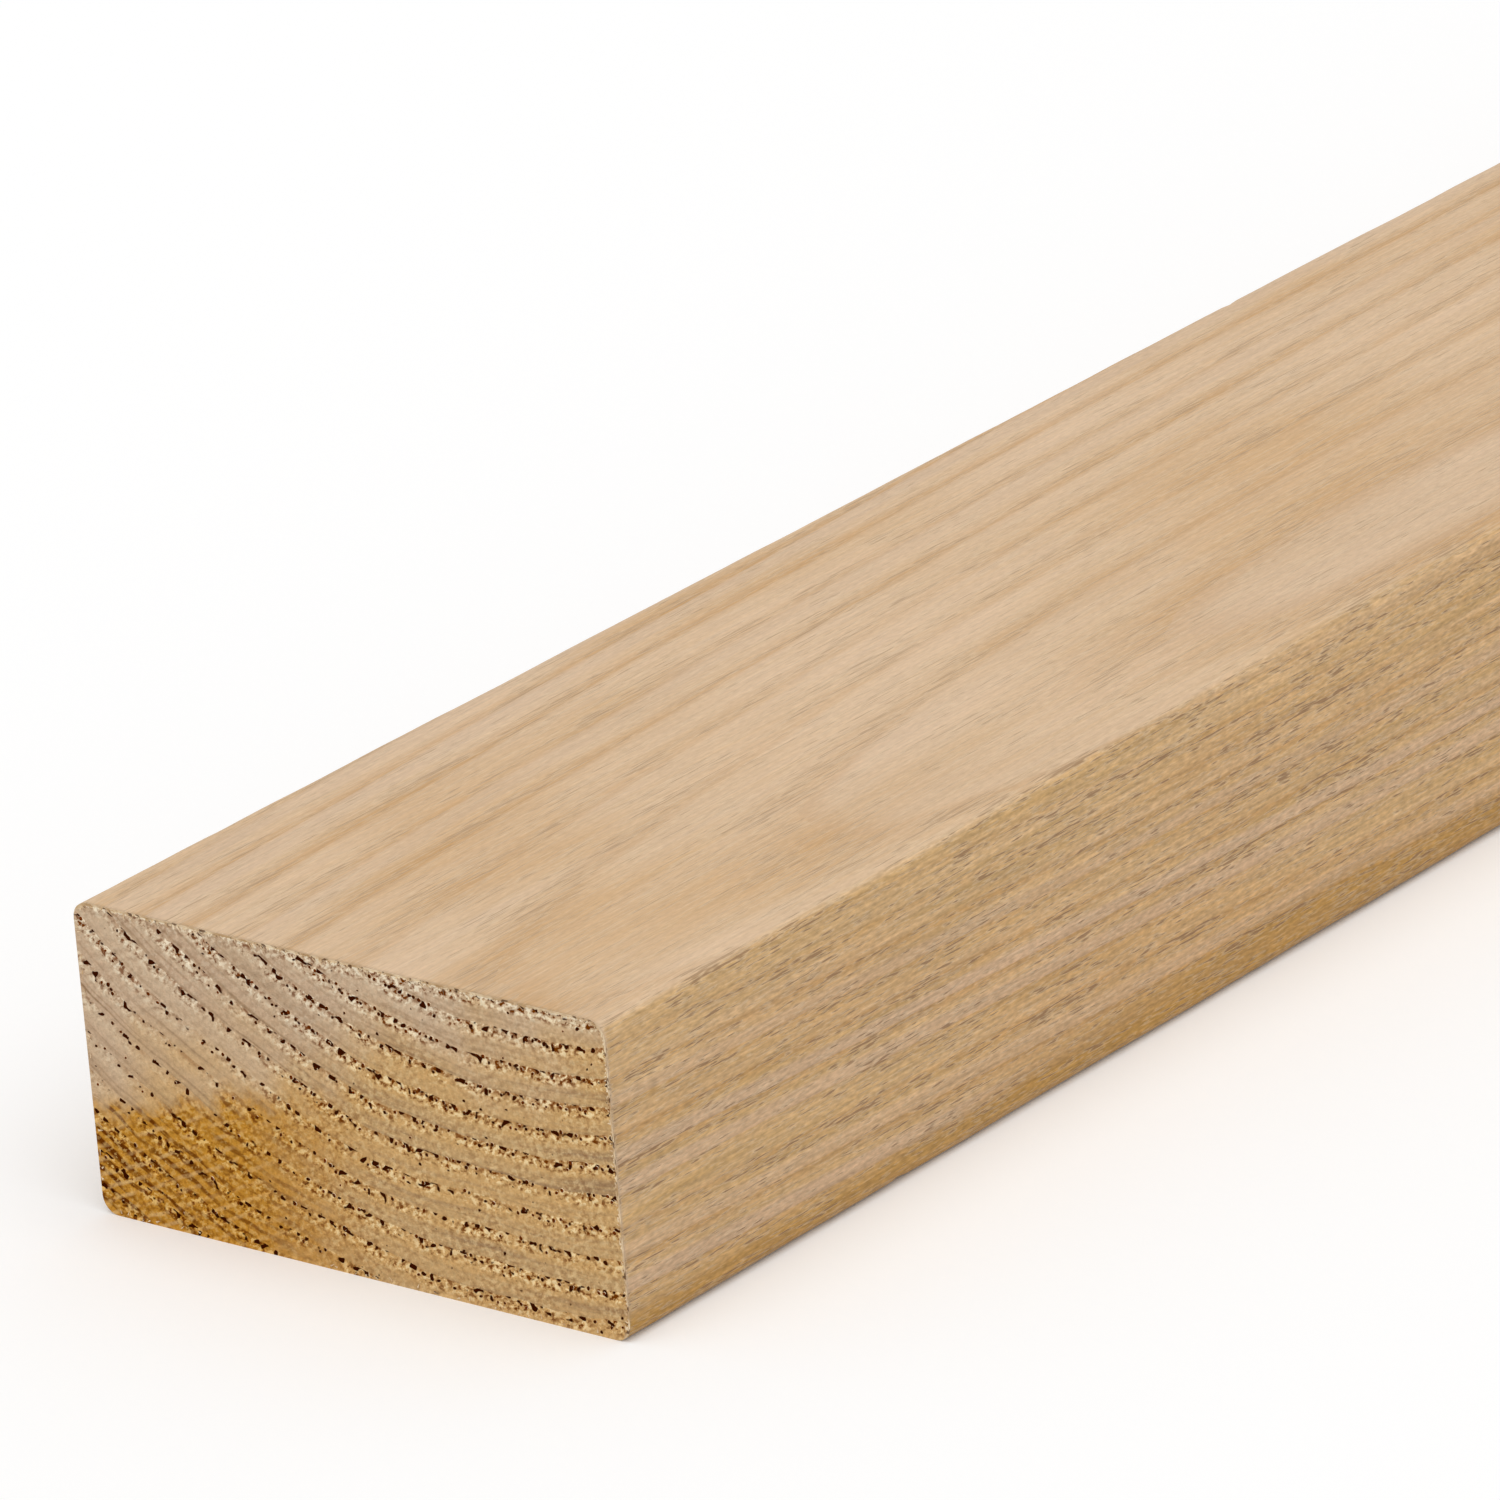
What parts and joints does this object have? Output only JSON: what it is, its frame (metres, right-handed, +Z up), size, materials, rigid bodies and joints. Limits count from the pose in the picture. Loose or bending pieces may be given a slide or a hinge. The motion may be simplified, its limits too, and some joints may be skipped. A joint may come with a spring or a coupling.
{
  "type": "hardwood framing timber",
  "caption": "Straight length of rectangular hardwood framing timber with rounded long corners and square sawn ends.",
  "frame": {"origin": "middle of the wide face that the timber lies on", "axes": "+X along the grain from one sawn end to the other, +Y across the wide faces, +Z up through the thickness"},
  "size_m": [2.4, 0.09, 0.045],
  "materials": {
    "hardwood": "planed and unfinished, with sawn ends"
  },
  "bodies": {
    "root": {"timber": "hardwood"}
  },
  "joints": []
}
